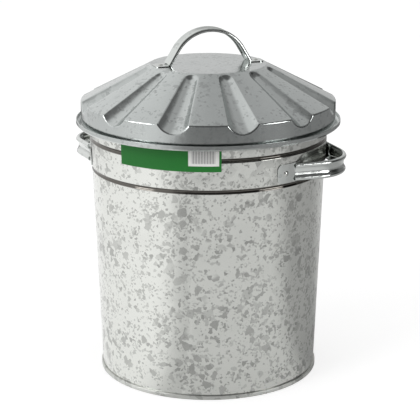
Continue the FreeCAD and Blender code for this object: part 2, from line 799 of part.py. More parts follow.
def make_rivets(name, spot):
    """Two headed pins through tab and sheet, each peened over below the sheet."""
    body = new_body(name + "_one")
    seat = f"({S}tab_seat + {S}strap_gauge + {S}rivet_gap)"
    below = f"(0 - {GAUGE} - {S}rivet_gap)"
    head, shank, tail = (f"({S}{part} / 2)" for part in ("rivet_head", "rivet_shank", "rivet_tail"))
    # The head's dome is drawn as two flats round a flat crown.
    side = f"({S}rivet_head_height / 4)"
    bend = f"({side} + 0.7 * ({S}rivet_head_height - {side}))"
    corners = [
        (ZERO, f"{below} - {S}rivet_tail_height"),
        (tail, f"{below} - {S}rivet_tail_height"),
        (tail, below),
        (shank, below),
        (shank, seat),
        (head, seat),
        (head, f"{seat} + {side}"),
        (f"{S}rivet_shoulder / 2", f"{seat} + {bend}"),
        (f"{S}rivet_crown_flat / 2", f"{seat} + {S}rivet_head_height"),
        (ZERO, f"{seat} + {S}rivet_head_height"),
    ]
    revolve(body, corners, name + "_turned")
    body.Placement = spot
    return mirrored_pair(name, body)


def make_drills(name, spot):
    """The two holes that the rivets of one handle pass through."""
    drill = doc.addObject("Part::Cylinder", name)
    drill.setExpression("Radius", f"{S}rivet_shank / 2 + {S}rivet_gap")
    depth = f"(2 * ({GAUGE} + {S}tab_seat + {S}strap_gauge))"
    drill.setExpression("Height", f"2 * {depth}")
    drill.Placement = spot * FreeCAD.Placement(
        FreeCAD.Vector(0, 0, -read(depth)), FreeCAD.Rotation()
    )
    return mirrored_pair(name, drill)


# ---------------------------------------------------------------- paper label

def make_label():
    """Strip of paper bent round the wall, over the upper bead."""
    body = new_body("label")
    low, high = S + "label_bottom", S + "label_top"
    off, face = f"({BAND} + {S}label_gap)", f"({BAND} + {S}label_gap + {S}paper_gauge)"
    corners = [
        (wall_radius(low, off), low),
        (wall_radius(low, face), low),
        (wall_radius(high, face), high),
        (wall_radius(high, off), high),
    ]
    revolve(body, corners, "label_bent", S + "label_arc", middle=True)
    body.Placement.Rotation = upright_turn(read(S + "label_centre"))
    return body


# ---------------------------------------------------------------- build

def build_can():
    """The pieces that stand still."""
    wall = fuse("can_wall_seamed", make_can_wall(), make_lock_seam())
    pieces = [make_can_floor(), make_rim_wire(), make_label()]
    spot = side_rivet_spot()
    for side, turn in (("right", 0), ("left", 180)):
        strap = make_side_handle("side_handle_" + side)
        handle = cut("side_handle_" + side, strap, make_drills("tab_drill_" + side, spot))
        rivets = make_rivets("side_handle_rivets_" + side, spot)
        drills = make_drills("wall_drill_" + side, spot)
        for piece in (handle, rivets, drills):
            lean_on_wall(piece, turn)
        wall = cut("can_wall_" + side, wall, drills)
        handle.Label = "side_handle_" + side
        rivets.Label = "side_handle_rivets_" + side
        pieces += [handle, rivets]
    wall.Label = "can_wall"
    return [wall] + pieces


def build_lid():
    """The lid, its arch and rivets, turned as one about Z."""
    turn = upright_turn(read(S + "lid_turn"))
    flutes_off_handle = upright_turn(read(S + "flute_turn"))
    shell = fuse("lid_whole", make_lid_sheet(), make_lid_lip())
    shell.Placement.Rotation = turn * flutes_off_handle
    spot = lid_rivet_spot()
    # The arch's own X is up, its Y runs along the handle.
    stand = FreeCAD.Placement(
        FreeCAD.Vector(), turn * FreeCAD.Rotation(FreeCAD.Vector(1, 1, 1), -120)
    )
    handle = cut("lid_handle", make_lid_handle("lid_handle"), make_drills("lid_tab_drill", spot))
    rivets = make_rivets("lid_handle_rivets", spot)
    drills = make_drills("lid_drill", spot)
    for piece in (handle, rivets, drills):
        piece.Placement = stand
    shell = cut("lid_shell", shell, drills)
    shell.Label = "lid_shell"
    handle.Label = "lid_handle"
    rivets.Label = "lid_handle_rivets"
    return [shell, handle, rivets]


pieces = build_can() + build_lid()
doc.recompute()

for item in doc.Objects:
    if "Invalid" in item.State or "Error" in item.State:
        raise RuntimeError(f"{item.Name} failed: {item.getStatusString()}")
for piece in pieces:
    if piece.Shape.isNull() or not piece.Shape.isValid() or not piece.Shape.Solids:
        raise RuntimeError(f"{piece.Label} is not a valid solid")

os.makedirs("parts", exist_ok=True)
for piece in pieces:
    piece.Shape.exportStep(os.path.join("parts", piece.Label + ".step"))
    print(f"{piece.Label}: {len(piece.Shape.Solids)} solids, {piece.Shape.Volume:.0f} mm3")
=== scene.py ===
import math

import bpy
from mathutils import Matrix, Vector


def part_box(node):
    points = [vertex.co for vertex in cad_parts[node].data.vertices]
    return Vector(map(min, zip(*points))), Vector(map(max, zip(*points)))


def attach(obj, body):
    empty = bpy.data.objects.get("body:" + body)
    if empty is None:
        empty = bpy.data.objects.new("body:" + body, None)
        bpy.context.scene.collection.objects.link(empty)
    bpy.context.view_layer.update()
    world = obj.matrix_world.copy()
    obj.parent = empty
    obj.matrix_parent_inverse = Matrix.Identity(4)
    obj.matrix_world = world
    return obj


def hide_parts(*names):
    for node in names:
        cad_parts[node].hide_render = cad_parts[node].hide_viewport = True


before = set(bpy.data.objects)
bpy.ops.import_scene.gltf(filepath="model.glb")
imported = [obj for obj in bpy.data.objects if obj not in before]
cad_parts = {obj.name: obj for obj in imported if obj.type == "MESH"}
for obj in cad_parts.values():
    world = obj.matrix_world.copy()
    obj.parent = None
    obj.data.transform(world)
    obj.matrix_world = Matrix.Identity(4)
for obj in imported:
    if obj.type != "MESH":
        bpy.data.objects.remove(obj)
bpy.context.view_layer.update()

# Galvanized trash can: turned sheet wall and floor, fluted lid, ribbed strap handles, rivets and
# a paper label. Sizes are millimetres on the can's own axes, heights count from the floor and
# angles are degrees. MM turns them into metres, in which meshes and patterns are made.

MM = 0.001


# ---------------------------------------------------------------- camera

CAMERA_TURN = 21.7
CAMERA_DOWN = 15.835

camera = bpy.data.objects.new("camera", bpy.data.cameras.new("camera"))
bpy.context.scene.collection.objects.link(camera)
camera.location = (0.6389, -1.6056, 0.6756)
camera.rotation_euler = (math.radians(90 - CAMERA_DOWN), 0, math.radians(CAMERA_TURN))
camera.data.sensor_width = 36
camera.data.lens = 132
camera.data.shift_x = 0.00429
bpy.context.scene.camera = camera
bpy.context.scene.view_settings.view_transform = "Standard"

# The picture's right and its depth, both level. Table, studio and lamps are laid out on them.
TO_RIGHT = Vector((math.cos(math.radians(CAMERA_TURN)), math.sin(math.radians(CAMERA_TURN)), 0))
TO_BACK = Vector((-TO_RIGHT.y, TO_RIGHT.x, 0))
STRAIGHT_UP = Vector((0, 0, 1))


# ---------------------------------------------------------------- helpers for pieces

# Points this close are one, in metres: in a drawn outline, a turned piece and a copied one.
OUTLINE_MERGE = 1e-7
TURNED_MERGE = 2e-7
COPY_MERGE = 1e-6


def nothing_selected():
    if bpy.context.object and bpy.context.object.mode != "OBJECT":
        bpy.ops.object.mode_set(mode="OBJECT")
    bpy.ops.object.select_all(action="DESELECT")


def arc(centre, radius, first, last, steps):
    """Points (radius, height) along a bend, from the angle first to the angle last."""
    angles = [math.radians(first + (last - first) * i / steps) for i in range(steps + 1)]
    return [(centre[0] + radius * math.cos(a), centre[1] + radius * math.sin(a)) for a in angles]


def outlined(name, points):
    """A closed chain of edges in the XZ plane, left in edit mode with all of it selected."""
    nothing_selected()
    bpy.ops.mesh.primitive_plane_add(size=MM)
    piece = bpy.context.object
    piece.name = piece.data.name = name
    bpy.ops.object.mode_set(mode="EDIT")
    bpy.ops.mesh.select_all(action="SELECT")
    bpy.ops.mesh.merge(type="CENTER")
    here = Vector((points[0][0], 0, points[0][1])) * MM
    bpy.ops.transform.translate(value=here)
    for radius, height in points[1:] + points[:1]:
        there = Vector((radius, 0, height)) * MM
        bpy.ops.mesh.extrude_vertices_move(TRANSFORM_OT_translate={"value": there - here})
        here = there
    bpy.ops.mesh.select_all(action="SELECT")
    bpy.ops.mesh.remove_doubles(threshold=OUTLINE_MERGE)
    return piece


def turned(name, points, steps=256, smooth=35, first=0.0, sweep=360.0):
    """A piece turned about the can's axis from its closed outline, all round or part of the way."""
    piece = outlined(name, points)
    if first:
        bpy.ops.transform.rotate(
            value=-math.radians(first), orient_axis="Z", center_override=(0, 0, 0))
    bpy.ops.mesh.spin(
        steps=steps, angle=-math.radians(sweep), center=(0, 0, 0), axis=(0, 0, 1))
    bpy.ops.mesh.select_all(action="SELECT")
    bpy.ops.mesh.remove_doubles(threshold=TURNED_MERGE)
    if sweep < 360:
        bpy.ops.mesh.fill_holes(sides=0)
    bpy.ops.mesh.select_all(action="SELECT")
    bpy.ops.mesh.normals_make_consistent(inside=False)
    bpy.ops.object.mode_set(mode="OBJECT")
    bpy.ops.object.shade_smooth_by_angle(angle=math.radians(smooth))
    return piece


def merged_copy(node, name, smooth):
    """A copy of a measured piece with its corners joined and its bends shaded smooth."""
    nothing_selected()
    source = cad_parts[node]
    source.select_set(True)
    bpy.context.view_layer.objects.active = source
    bpy.ops.object.duplicate()
    piece = bpy.context.object
    piece.name = piece.data.name = name
    for key in [key for key in piece.keys() if key.startswith("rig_")]:
        del piece[key]
    piece.parent = None
    bpy.ops.object.mode_set(mode="EDIT")
    bpy.ops.mesh.select_all(action="SELECT")
    bpy.ops.mesh.customdata_custom_splitnormals_clear()
    bpy.ops.mesh.remove_doubles(threshold=COPY_MERGE)
    bpy.ops.object.mode_set(mode="OBJECT")
    bpy.ops.object.shade_smooth_by_angle(angle=math.radians(smooth))
    even = piece.modifiers.new("even_normals", "WEIGHTED_NORMAL")
    even.keep_sharp = True
    bpy.ops.object.modifier_apply(modifier=even.name)
    return piece


def finish_piece(piece, material, body, slot, *nodes):
    """Gives a piece its material and its body, and hides the measured nodes that it stands for. The
    slot is not used.
    """
    piece.data.materials.clear()
    piece.data.materials.append(material)
    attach(piece, body)
    if nodes:
        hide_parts(*nodes)


# ---------------------------------------------------------------- helpers for materials

def bare_tree(owner):
    """The emptied node tree of a material or a world."""
    owner.use_nodes = True
    owner.node_tree.nodes.clear()
    return owner.node_tree


def new_material(name):
    """A material, its node tree, its shader and the place on the piece that patterns read."""
    material = bpy.data.materials.new(name)
    tree = bare_tree(material)
    output = tree.nodes.new("ShaderNodeOutputMaterial")
    shader = tree.nodes.new("ShaderNodeBsdfPrincipled")
    tree.links.new(shader.outputs["BSDF"], output.inputs["Surface"])
    place = tree.nodes.new("ShaderNodeTexCoord").outputs["Object"]
    return material, tree, shader, place


def add(tree, kind, settings=None, **inputs):
    """A node with its settings and its inputs; an input is named, or i and its number."""
    node = tree.nodes.new(kind)
    for key, value in (settings or {}).items():
        setattr(node, key, value)
    for key, value in inputs.items():
        socket = node.inputs[int(key[1:]) if key[1:].isdigit() else key]
        if isinstance(value, bpy.types.NodeSocket):
            tree.links.new(value, socket)
        else:
            socket.default_value = value
    return node


def maths(tree, operation, a, b=0.0, c=0.0, clamp=False):
    settings = {"operation": operation, "use_clamp": clamp}
    return add(tree, "ShaderNodeMath", settings, i0=a, i1=b, i2=c).outputs[0]


def vector_maths(tree, operation, a, b=(0, 0, 0), c=(0, 0, 0)):
    """A step on vectors. A dot product or a length comes out as a number."""
    node = add(tree, "ShaderNodeVectorMath", {"operation": operation}, i0=a, i1=b, i2=c)
    return node.outputs["Value" if operation in ("DOT_PRODUCT", "LENGTH") else "Vector"]


def noise(tree, place, fineness, detail):
    return add(tree, "ShaderNodeTexNoise", Vector=place, Scale=fineness, Detail=detail).outputs


def mixed(tree, factor, a, b):
    return add(tree, "ShaderNodeMix", {"data_type": "RGBA"}, i0=factor, i6=a, i7=b).outputs[2]


def ramp(tree, value, low, high, at_low=0.0, at_high=1.0):
    """A smooth step from at_low to at_high as the value goes from low to high."""
    settings = {"interpolation_type": "SMOOTHSTEP"}
    return add(tree, "ShaderNodeMapRange", settings,
               i0=value, i1=low, i2=high, i3=at_low, i4=at_high).outputs[0]


def above(tree, value, low, soft):
    """Zero below low and one above it, with a soft edge."""
    return ramp(tree, value, low - soft, low + soft)


def band(tree, value, low, high, soft):
    """One between low and high and zero outside, with soft edges."""
    fall = ramp(tree, value, high - soft, high + soft, 1.0, 0.0)
    return maths(tree, "MULTIPLY", above(tree, value, low, soft), fall)


def around(tree, value, depth):
    """A pattern's value from 0 to 1, made to go as far below zero as above it."""
    return maths(tree, "MULTIPLY_ADD", value, depth, -depth / 2)


# ---------------------------------------------------------------- zinc

# Crystals. A pattern's fineness is divided by their size in mm, and an edge's bend multiplied.
CELL_FINENESS = 1000.0
EDGE_FINENESS = 900.0
EDGE_BEND = 0.8
EDGE_SOFT = (-0.01, 0.03)
CROWD_FINENESS = 160.0
CROWDED = (0.36, 0.66)
CROWD_GAIN = 2.2
FAINTEST = 0.35
LAYER_SHIFT = 0.37

# The ground between them, and how much duller the crystals are.
SPECK_FINENESS = 1100.0
CLOUD_FINENESS = 22.0
CLOUD_DEPTH = 0.5
DULLER = 0.12
WAVE_STRENGTH, WAVE_DEPTH = 0.3, 0.5

# Bead grooves that rollers have pressed: smoother metal, whose dark colour is a painted reflection
# of the dark room.
PAINTED_BEAD_REFLECTION = (0.14, 0.132, 0.12, 1)
BURNISHED_PAINTED_EDGE = 0.45
BURNISHED_SHINE = 0.12


def grey(level, cool=0.0):
    """A zinc grey, a little greenish, and turned to blue by cool."""
    return (level * (0.985 - cool), level, level * (0.955 + cool), 1)


def flakes(tree, place, size, share, seed):
    """Angular zinc crystals: that share of ragged cells shows dark, crowded in some places.

    Gives how dark the crystals are and the colours that tell them apart.
    """
    shift = add(tree, "ShaderNodeMapping", i0=place, i1=(seed, seed * 0.7, -seed)).outputs[0]
    ragged = noise(tree, shift, EDGE_FINENESS / size, 4.0)["Color"]
    bent = vector_maths(tree, "MULTIPLY_ADD", ragged, (size * EDGE_BEND * MM,) * 3, shift)
    cells = add(tree, "ShaderNodeTexVoronoi", Vector=bent, Scale=CELL_FINENESS / size)
    value = add(tree, "ShaderNodeSeparateColor", i0=cells.outputs["Color"]).outputs
    crowd = ramp(tree, noise(tree, shift, CROWD_FINENESS / size, 2.0)["Fac"], *CROWDED)
    share = maths(tree, "MULTIPLY", crowd, share * CROWD_GAIN)
    chosen = ramp(tree, maths(tree, "SUBTRACT", share, value[0]), *EDGE_SOFT)
    depth = maths(tree, "MULTIPLY_ADD", value[1], 1.0 - FAINTEST, FAINTEST)
    return maths(tree, "MULTIPLY", chosen, depth), cells.outputs["Color"]


def zinc(name, light, dark, layers, rough, lean, specks=0.25, cool=0.0, burnished_painted_bands=()):
    """Hot-dip zinc: dark crystals in layers of (size in mm, share, strength) on a bright ground.

    light and dark are the greys of ground and crystals, lean how far a crystal turns its shine,
    cool how far the greys turn to blue, and the last argument the (low, high) heights in mm of
    the bead bands, where rollers left smoother metal and the colour is a painted dark reflection.
    """
    material, tree, shader, place = new_material(name)
    shade, tilt = None, None
    for number, (size, share, strength) in enumerate(layers):
        layer, colours = flakes(tree, place, size, share, LAYER_SHIFT * number)
        layer = maths(tree, "MULTIPLY", layer, strength)
        shade = layer if shade is None else maths(tree, "MAXIMUM", shade, layer)
        tilt = colours if tilt is None else tilt
    cloud = noise(tree, place, CLOUD_FINENESS, 3.0)["Fac"]
    grain = around(tree, noise(tree, place, SPECK_FINENESS, 2.0)["Fac"], specks)
    drift = around(tree, cloud, CLOUD_DEPTH)
    shade = maths(tree, "ADD", maths(tree, "ADD", shade, grain), drift, clamp=True)
    colour = mixed(tree, shade, grey(light, cool), grey(dark, cool))
    roughness = maths(tree, "MULTIPLY_ADD", shade, DULLER, rough)

    height = add(tree, "ShaderNodeSeparateXYZ", i0=place).outputs["Z"]
    burnished_painted_mask = None
    for low, high in burnished_painted_bands:
        stripe = band(tree, height, low * MM, high * MM, BURNISHED_PAINTED_EDGE * MM)
        burnished_painted_mask = stripe if burnished_painted_mask is None else maths(tree, "MAXIMUM", burnished_painted_mask, stripe)
    if burnished_painted_mask is not None:
        # Painted dark reflection: the bead bands' colour is darkened to stand in for the dark room
        # they mirror.
        colour = mixed(tree, burnished_painted_mask, colour, PAINTED_BEAD_REFLECTION)
        roughness = maths(tree, "MULTIPLY_ADD", burnished_painted_mask, -BURNISHED_SHINE, roughness)
    tree.links.new(colour, shader.inputs["Base Color"])
    tree.links.new(roughness, shader.inputs["Roughness"])
    shader.inputs["Metallic"].default_value = 1.0

    waves = add(tree, "ShaderNodeBump",
                Strength=WAVE_STRENGTH, Distance=WAVE_DEPTH * MM, Height=cloud).outputs["Normal"]
    turn = vector_maths(tree, "MULTIPLY_ADD", tilt, (lean,) * 3, (-lean / 2,) * 3)
    straight = vector_maths(tree, "NORMALIZE", vector_maths(tree, "ADD", waves, turn))
    tree.links.new(straight, shader.inputs["Normal"])
    return material


# The wall's bead bands carry a painted dark reflection in their colour, on smoother metal.
wall_zinc = zinc(
    "zinc_wall", light=0.75, dark=0.4, rough=0.15, lean=0.04,
    layers=((8.0, 0.1, 0.9), (4.0, 0.14, 1.0), (2.1, 0.16, 0.9)),
    burnished_painted_bands=((240.2, 245.3), (275.2, 280.4)))
floor_zinc = zinc(
    "zinc_floor", light=0.62, dark=0.4, rough=0.42, lean=0.05,
    layers=((8.0, 0.1, 1.0), (4.0, 0.16, 0.9)))
lid_zinc = zinc(
    "zinc_lid", light=0.58, dark=0.36, rough=0.17, lean=0.02, specks=0.3, cool=0.03,
    layers=((5.0, 0.06, 0.6), (2.4, 0.1, 0.7)))
strap_zinc = zinc(
    "zinc_strap", light=0.7, dark=0.46, rough=0.14, lean=0.02, specks=0.2, cool=0.02,
    layers=((4.0, 0.1, 0.6),))
rivet_zinc = zinc(
    "zinc_rivet", light=0.62, dark=0.45, rough=0.2, lean=0.02, layers=((2.0, 0.2, 0.7),))
drawn_wire = zinc(
    "drawn_wire", light=0.5, dark=0.35, rough=0.3, lean=0.02, layers=((1.5, 0.3, 0.7),))


# ---------------------------------------------------------------- can wall and floor

GAUGE = 0.5
FOLD_GAP = 0.11
LAYER = GAUGE + FOLD_GAP
CHIME = 5.2
BASE = 125.2
TAPER = 2.065
SLOPE = math.tan(math.radians(TAPER))
FLARE_START = 231.7
BAND_STEP = 1.05
FLARE = ((CHIME, 0.0), (FLARE_START, 0.0), (240.1, 0.35), (245.5, BAND_STEP), (400, BAND_STEP))
BEADS = (242.8, 277.8)
BEAD_HALF = 2.75
BEAD_BOTTOM = BAND_STEP - 1.5
RIM_LEVEL = 307.1
WIRE_HOLE = 2.6
WIRE_RADIUS = 2.3
WIRE_SIDES = 12
CURL_END = -60
CURL_STEPS = 24
SEAM_WIDTH = 7.0
SEAM_PROUD = 0.8
SEAM_ROUND = 0.35
PAN_LEVEL = 5.5
PAN_MIDDLE = 60
PAN_ROUND = 1.2
FOLD_ROUND = 0.9


def wall_radius(height):
    """Outer radius of the wall at a height, with its flare and its two roller beads."""
    for (low, first), (high, last) in zip(FLARE, FLARE[1:]):
        if height <= high:
            step = first + (last - first) * max(height - low, 0.0) / (high - low)
            break
    for middle in BEADS:
        away = abs(height - middle) / BEAD_HALF
        if away < 1:
            pressed = (1 + math.cos(math.pi * away)) / 2
            step += (BEAD_BOTTOM - step) * pressed
    return BASE + (height - CHIME) * SLOPE + step


def make_wall():
    """Sheet with a hook at its foot and a rim curled round the wire; rows crowd at the beads."""
    heights = [20, 60, 110, 160, 200, 224, 230, FLARE_START, 234, 237]
    heights += [middle + BEAD_HALF * i / 8 for middle in BEADS for i in range(-9, 10)]
    heights += [250, 256, 262, 268, 272, 285, 292, 298, 303]
    outer = [(wall_radius(z), z) for z in sorted(heights)]
    inner = [(r - GAUGE, z) for r, z in outer]
    hook = BASE + FOLD_GAP + LAYER
    foot = [
        (BASE, CHIME), (BASE, LAYER + GAUGE), (hook, LAYER + GAUGE), (hook, CHIME - LAYER),
        (hook + GAUGE, CHIME - LAYER), (hook + GAUGE, LAYER), (BASE - GAUGE, LAYER),
        (BASE - GAUGE, CHIME),
    ]
    rim = (wall_radius(RIM_LEVEL) + WIRE_HOLE, RIM_LEVEL)
    curl = arc(rim, WIRE_HOLE + GAUGE, 180, CURL_END, CURL_STEPS)
    curl += arc(rim, WIRE_HOLE, CURL_END, 180, CURL_STEPS)
    piece = turned("wall_sheet", foot + inner + curl + outer[::-1])
    finish_piece(piece, wall_zinc, "can", "galvanized_wall", "can_wall")

    ring = arc(rim, WIRE_RADIUS, 0, 360 - 360 / WIRE_SIDES, WIRE_SIDES - 1)
    wire = turned("rim_wire_ring", ring, steps=192, smooth=60)
    finish_piece(wire, drawn_wire, "can", "wire", "rim_wire")


def make_lock_seam():
    """The folded joint up the back of the wall, a flat ridge with rounded edges."""
    low, high = CHIME + FOLD_GAP, RIM_LEVEL - WIRE_HOLE - GAUGE
    heights = (low, FLARE_START, BEADS[0] + BEAD_HALF, high)
    face = [(wall_radius(z) + SEAM_PROUD, z) for z in heights]
    back = [(wall_radius(z) - GAUGE / 2, z) for z in heights]
    piece = outlined("wall_lock_seam", face + back[::-1])
    bpy.ops.mesh.edge_face_add()
    bpy.ops.transform.translate(value=(0, -SEAM_WIDTH / 2 * MM, 0))
    bpy.ops.mesh.extrude_region_move(TRANSFORM_OT_translate={"value": (0, SEAM_WIDTH * MM, 0)})
    bpy.ops.mesh.select_all(action="SELECT")
    bpy.ops.transform.rotate(
        value=-math.radians(90), orient_axis="Z", center_override=(0, 0, 0))
    bpy.ops.mesh.normals_make_consistent(inside=False)
    bpy.ops.object.mode_set(mode="OBJECT")
    fold = piece.modifiers.new("fold", "BEVEL")
    fold.width = SEAM_ROUND * MM
    fold.segments = 3
    fold.limit_method = "ANGLE"
    bpy.ops.object.modifier_apply(modifier=fold.name)
    bpy.ops.object.shade_smooth_by_angle(angle=math.radians(40))
    finish_piece(piece, wall_zinc, "can", "galvanized_wall")


def make_floor():
    """Recessed pan whose edge folds round the wall's hook, with rounded folds."""
    hook = BASE + FOLD_GAP
    leg = hook + 2 * LAYER
    chuck = BASE - GAUGE - LAYER
    edge = leg + GAUGE - FOLD_ROUND
    corner = (chuck - PAN_ROUND, PAN_LEVEL - PAN_ROUND)
    points = [(0, PAN_LEVEL), (PAN_MIDDLE, PAN_LEVEL)]
    points += arc(corner, PAN_ROUND, 90, 0, 5)
    points += arc((chuck + FOLD_ROUND, FOLD_ROUND), FOLD_ROUND, 180, 270, 6)
    points += arc((edge, FOLD_ROUND), FOLD_ROUND, 270, 360, 6)
    points += arc((edge, CHIME - FOLD_ROUND), FOLD_ROUND, 0, 90, 6)
    points += [(hook, CHIME), (hook, 3 * LAYER), (hook + GAUGE, 3 * LAYER),
               (hook + GAUGE, CHIME - GAUGE), (leg, CHIME - GAUGE), (leg, GAUGE),
               (chuck + GAUGE, GAUGE), (chuck + GAUGE, PAN_LEVEL - PAN_ROUND + GAUGE)]
    points += arc(corner, PAN_ROUND + GAUGE, 0, 90, 5)[1:]
    points += [(PAN_MIDDLE, PAN_LEVEL + GAUGE), (0, PAN_LEVEL + GAUGE)]
    piece = turned("floor_pan", points)
    finish_piece(piece, floor_zinc, "can", "galvanized_floor", "can_floor")


make_wall()
make_lock_seam()
make_floor()


# ---------------------------------------------------------------- lid and handles

lid = merged_copy("lid_shell", "lid_sheet", smooth=32)
finish_piece(lid, lid_zinc, "lid", "galvanized_lid", "lid_shell")
lid_strap = merged_copy("lid_handle", "lid_strap", smooth=40)
finish_piece(lid_strap, strap_zinc, "lid", "galvanized_strap", "lid_handle")
for side in ("right", "left"):
    strap = merged_copy("side_handle_" + side, "side_strap_" + side, smooth=40)
    finish_piece(strap, strap_zinc, "can", "galvanized_strap", "side_handle_" + side)


# ---------------------------------------------------------------- rivets

STRAP = 0.8
TAB_SEAT = 0.12
RIVET_GAP = 0.05
RIVET_SEAT = TAB_SEAT + STRAP + RIVET_GAP
SHANK_RADIUS = 1.6
HEAD_RADIUS = 3.2
HEAD_HEIGHT = 1.2
HEAD_EDGE = 0.2
DOME_RADIUS = 4.4
DOME_CENTRE = (0, RIVET_SEAT + HEAD_HEIGHT - DOME_RADIUS)
DOME_SWEEP = 43
HIDDEN_END = [(0, -1.35), (2.2, -1.35), (2.5, -1.1), (2.5, -0.55), (SHANK_RADIUS, -0.55)]

SIDE_RIVET_LEVEL = 256.0
SIDE_RIVET_TURN = 29.81
LID_RIVET_RADIUS = 56.47
LID_RIVET_TURN = 39.7


def about_z(angle):
    return Matrix.Rotation(math.radians(angle), 4, "Z")


def moved(x, z=0.0):
    return Matrix.Translation(Vector((x, 0, z)) * MM)


def make_rivet_pair(name, spots, body, node):
    """Two domed rivets, each turned upright and then set where it goes through tab and sheet."""
    dome = arc(DOME_CENTRE, DOME_RADIUS, 90, 90 - DOME_SWEEP, 8)
    points = HIDDEN_END + [(SHANK_RADIUS, RIVET_SEAT), (HEAD_RADIUS, RIVET_SEAT)]
    points += [(min(r, HEAD_RADIUS), max(z, RIVET_SEAT + HEAD_EDGE)) for r, z in dome[::-1]]
    pair = []
    for number, spot in enumerate(spots):
        rivet = turned(f"{name}_{number}", points, steps=40, smooth=40)
        rivet.data.transform(spot)
        pair.append(rivet)
    nothing_selected()
    for rivet in pair:
        rivet.select_set(True)
    bpy.context.view_layer.objects.active = pair[0]
    bpy.ops.object.join()
    pair[0].name = pair[0].data.name = name
    finish_piece(pair[0], rivet_zinc, body, "rivet", node)


def make_rivets():
    """A pair on each side handle's tabs, square to the wall, and a pair on the lid's flat top."""
    radius = wall_radius(SIDE_RIVET_LEVEL)
    outward = Matrix.Rotation(math.radians(90), 4, "Y")
    tip = moved(radius, SIDE_RIVET_LEVEL) @ Matrix.Rotation(math.radians(TAPER), 4, "Y")
    tip = tip @ moved(-radius)
    for side, turn in (("right", 0), ("left", 180)):
        spots = [about_z(turn) @ tip @ about_z(angle) @ moved(radius) @ outward
                 for angle in (SIDE_RIVET_TURN, -SIDE_RIVET_TURN)]
        make_rivet_pair("side_rivets_" + side, spots, "can", "side_handle_rivets_" + side)
    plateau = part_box("lid_shell")[1].z
    spots = [about_z(turn) @ Matrix.Translation((LID_RIVET_RADIUS * MM, 0, plateau))
             for turn in (LID_RIVET_TURN, LID_RIVET_TURN + 180)]
    make_rivet_pair("lid_rivets", spots, "lid", "lid_handle_rivets")


make_rivets()


# ---------------------------------------------------------------- paper label

LABEL_FROM, LABEL_SWEEP = -112.3, 50.0
LABEL_LOW, LABEL_HIGH = 265.8, 299.0
LABEL_GAP = 0.15
PAPER = 0.2

# The print, as stretches of the turn round the can (from, to, softness) and heights.
PANEL = (-77.3, -63.4, 0.12)
PANEL_LOW, PANEL_LOW_SOFT = 272.2, 0.15
BARS = (-75.6, -65.2, 0.1)
BARS_LOW, BARS_LOW_SOFT = 275.0, 0.2
BARS_PER_DEGREE = 1.45
BAR = (0.25, 0.7, 0.1)
GREENS = (0.014, 0.145, 0.024, 1), (0.026, 0.185, 0.036, 1)
WHITES = (0.72, 0.72, 0.7, 1), (0.8, 0.8, 0.78, 1)
BAR_GREY = (0.13, 0.13, 0.135, 1)
FIBRE_FINENESS = 900.0
FIBRE_STRENGTH, FIBRE_DEPTH = 0.2, 0.1
VARNISH_ROUGH, VARNISH_SPREAD = 0.35, 0.2


def label_print():
    """Green varnished paper with a plain white panel of even grey stripes."""
    material, tree, shader, place = new_material("label_paper")
    axes = add(tree, "ShaderNodeSeparateXYZ", i0=place).outputs
    angle = maths(tree, "MULTIPLY", maths(tree, "ARCTAN2", axes["Y"], axes["X"]), 180 / math.pi)
    panel = maths(tree, "MULTIPLY", band(tree, angle, *PANEL),
                  above(tree, axes["Z"], PANEL_LOW * MM, PANEL_LOW_SOFT * MM))
    stripes = maths(tree, "FRACT", maths(tree, "MULTIPLY", angle, BARS_PER_DEGREE))
    bars = maths(tree, "MULTIPLY", band(tree, stripes, *BAR), band(tree, angle, *BARS))
    bars = maths(tree, "MULTIPLY", bars,
                 above(tree, axes["Z"], BARS_LOW * MM, BARS_LOW_SOFT * MM))
    fibre = noise(tree, place, FIBRE_FINENESS, 3.0)["Fac"]
    white = mixed(tree, bars, mixed(tree, fibre, *WHITES), BAR_GREY)
    colour = mixed(tree, panel, mixed(tree, fibre, *GREENS), white)
    roughness = maths(tree, "MULTIPLY_ADD", fibre, VARNISH_SPREAD, VARNISH_ROUGH)
    bump = add(tree, "ShaderNodeBump",
               Strength=FIBRE_STRENGTH, Distance=FIBRE_DEPTH * MM, Height=fibre)
    tree.links.new(colour, shader.inputs["Base Color"])
    tree.links.new(roughness, shader.inputs["Roughness"])
    tree.links.new(bump.outputs["Normal"], shader.inputs["Normal"])
    shader.inputs["Specular IOR Level"].default_value = 0.2
    return material


def make_label():
    """The strip of paper, bent round the wall over its upper bead and closed at its ends."""
    steps = 12
    heights = [LABEL_LOW + (LABEL_HIGH - LABEL_LOW) * i / steps for i in range(steps + 1)]
    back = [(BASE + (z - CHIME) * SLOPE + BAND_STEP + LABEL_GAP, z) for z in heights]
    face = [(r + PAPER, z) for r, z in back]
    piece = turned("label_strip", back + face[::-1], steps=72, smooth=30,
                   first=LABEL_FROM, sweep=LABEL_SWEEP)
    finish_piece(piece, label_print(), "can", "label_paper", "label")


make_label()


# ---------------------------------------------------------------- table, world and lamps

# What metal mirrors is laid out in smooth steps (from, to, level at from, level at to), where a
# step without levels goes from 0 to 1, and in stretches (from, to, softness of their edges).

